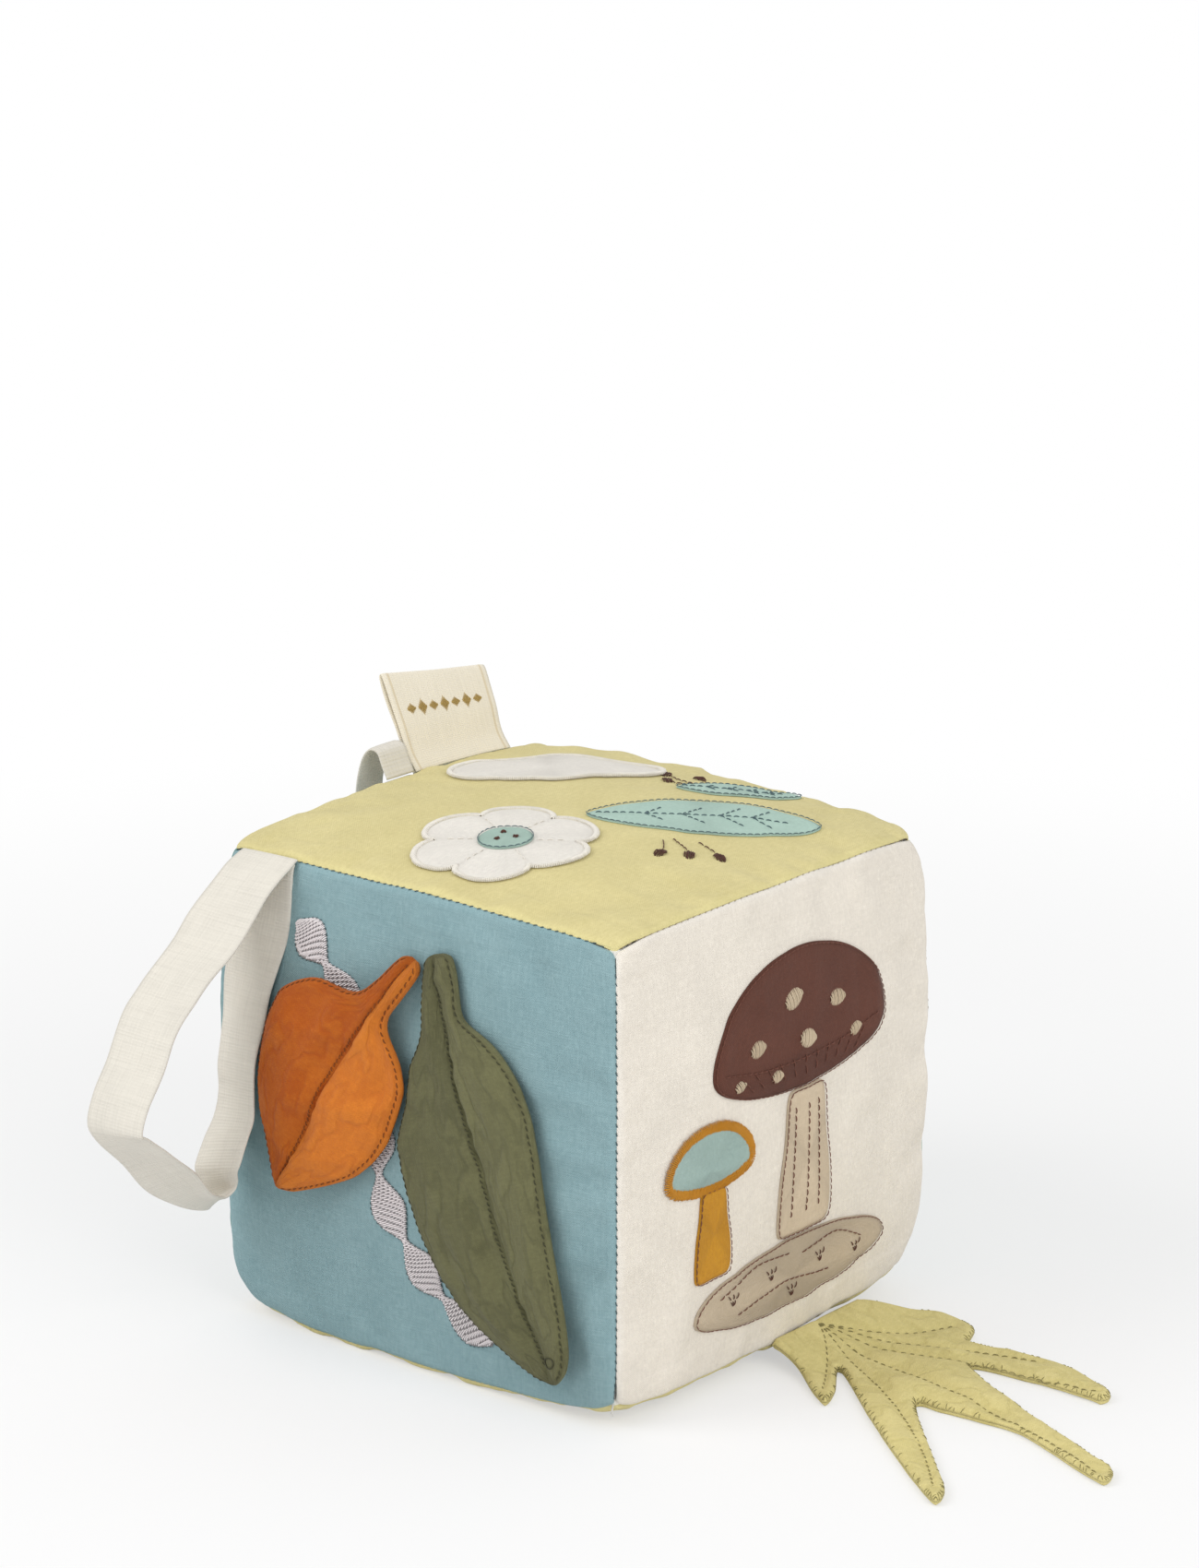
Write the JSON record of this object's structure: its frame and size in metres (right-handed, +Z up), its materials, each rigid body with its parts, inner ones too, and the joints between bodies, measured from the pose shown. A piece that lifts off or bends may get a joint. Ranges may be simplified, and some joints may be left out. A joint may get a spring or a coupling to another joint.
{
  "type": "soft fabric activity block",
  "caption": "Stuffed cloth cube for a baby, with hanging cloth leaves, a webbed crinkle leaf, ribbon loops, a folded tag and a rattle inside.",
  "frame": {"origin": "centre of the block's base, on the floor", "axes": "+Z up; the leaves hang on the -Y panel, the webbed leaf reaches out to +X, the tag is on the -X top seam"},
  "size_m": [0.2705, 0.1912, 0.1617],
  "materials": {
    "blue_cotton": "woven cotton",
    "teal_cotton": "woven cotton",
    "cream_cotton": "woven cotton",
    "straw_cotton": "woven cotton",
    "stuffing_foam": "open-cell foam",
    "white_applique": "woven cotton",
    "mint_cotton": "woven cotton",
    "brown_applique": "printed cotton",
    "beige_applique": "printed cotton",
    "mustard_applique": "printed cotton",
    "pale_blue_applique": "printed cotton",
    "satin_thread": "satin stitch",
    "orange_cotton": "woven cotton",
    "green_cotton": "woven cotton",
    "yellow_green_cotton": "woven cotton",
    "ribbon_tape": "soft cotton tape",
    "tag_tape": "fine woven tape",
    "capsule_plastic": "moulded, satin",
    "bead_plastic": "moulded, satin",
    "crinkle_film": "thin film"
  },
  "bodies": {
    "block": {"back_panel": "mint_cotton", "bottom_panel": "straw_cotton", "capsule_lower": "capsule_plastic", "capsule_upper": "capsule_plastic", "foam_lower": "stuffing_foam", "foam_upper": "stuffing_foam", "front_panel": "blue_cotton", "front_vine": "satin_thread", "left_panel": "teal_cotton", "right_cap": "brown_applique", "right_mound": "beige_applique", "right_panel": "cream_cotton", "right_small_cap": "pale_blue_applique", "right_small_stem": "mustard_applique", "right_stem": "white_applique", "top_cloud": "white_applique", "top_daisy": "white_applique", "top_daisy_middle": "mint_cotton", "top_leaf_large": "mint_cotton", "top_leaf_small": "mint_cotton", "top_panel": "straw_cotton"},
    "orange_leaf": {"orange_leaf_front": "orange_cotton", "orange_leaf_film": "crinkle_film", "orange_leaf_back": "orange_cotton"},
    "green_leaf": {"green_leaf_front": "green_cotton", "green_leaf_film": "crinkle_film", "green_leaf_back": "green_cotton"},
    "fan_leaf": {"fan_leaf_upper": "yellow_green_cotton", "fan_leaf_film": "crinkle_film", "fan_leaf_lower": "yellow_green_cotton"},
    "ribbon": {"ribbon_loop": "ribbon_tape"},
    "rear_ribbon": {"rear_loop": "ribbon_tape"},
    "label": {"tag": "tag_tape"},
    "bead_a": {"bead_1": "bead_plastic"},
    "bead_b": {"bead_2": "bead_plastic"},
    "bead_c": {"bead_3": "bead_plastic"}
  },
  "joints": [
    {"name": "orange_leaf_lift", "type": "hinge", "parent": "block", "child": "orange_leaf", "pos_m": [0.00521, -0.07243, 0.11846], "axis": [-1, 0, 0], "range_deg": [0, 150]},
    {"name": "green_leaf_lift", "type": "hinge", "parent": "block", "child": "green_leaf", "pos_m": [0.01139, -0.07182, 0.1212], "axis": [-1, 0, 0], "range_deg": [0, 150]},
    {"name": "fan_leaf_lift", "type": "hinge", "parent": "block", "child": "fan_leaf", "pos_m": [0.07129, 0.017, 0.00748], "axis": [0, -1, 0], "range_deg": [0, 75]},
    {"name": "ribbon_lift", "type": "hinge", "parent": "block", "child": "ribbon", "pos_m": [-0.05145, -0.06622, 0.1366], "axis": [-1, 0, 0], "range_deg": [0, 150]},
    {"name": "rear_ribbon_lift", "type": "hinge", "parent": "block", "child": "rear_ribbon", "pos_m": [-0.07126, 0.0077, 0.13774], "axis": [0, 1, 0], "range_deg": [0, 75]},
    {"name": "label_bend", "type": "hinge", "parent": "block", "child": "label", "pos_m": [-0.0708, 0.0334, 0.137], "axis": [0, 1, 0], "range_deg": [-35, 20], "stiffness_Nm_per_rad": 0.004},
    {"name": "bead_a_rise", "type": "slide", "parent": "block", "child": "bead_a", "axis": [0, 0, 1], "range_m": [0, 0.0264]},
    {"name": "bead_b_rise", "type": "slide", "parent": "block", "child": "bead_b", "axis": [0, 0, 1], "range_m": [0, 0.0264]},
    {"name": "bead_c_rise", "type": "slide", "parent": "block", "child": "bead_c", "axis": [0, 0, 1], "range_m": [0, 0.0264]}
  ]
}
